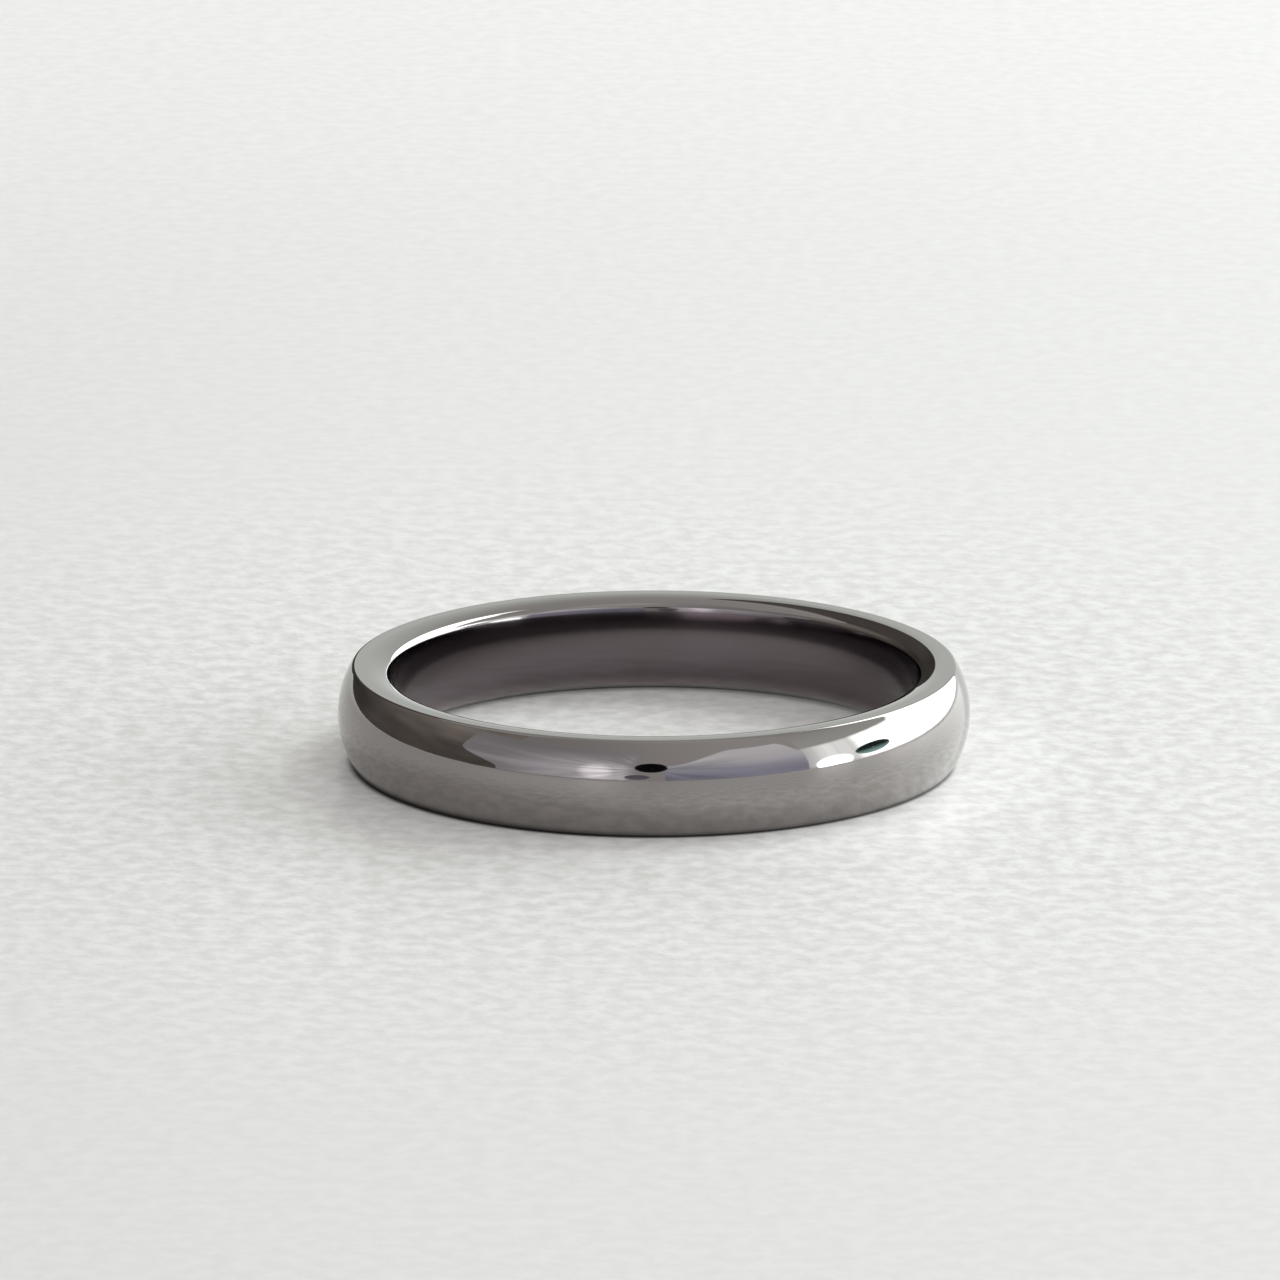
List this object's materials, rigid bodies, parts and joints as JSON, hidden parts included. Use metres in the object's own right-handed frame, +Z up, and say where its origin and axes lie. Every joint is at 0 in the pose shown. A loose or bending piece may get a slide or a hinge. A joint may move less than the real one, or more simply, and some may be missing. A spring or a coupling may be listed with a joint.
{
  "type": "wedding band",
  "caption": "Plain domed finger ring in mirror-polished dark grey metal, with narrow flat rims and a rolled comfort-fit bore.",
  "frame": {"origin": "centre of the lower flat rim, on the finger hole's axis, with the ring lying flat", "axes": "+Z up along the finger hole's axis; +X and +Y lie in the plane of the lower rim"},
  "size_m": [0.0196, 0.0196, 0.003],
  "materials": {
    "dark_polished_metal": "polished"
  },
  "bodies": {
    "root": {"band": "dark_polished_metal"}
  },
  "joints": []
}
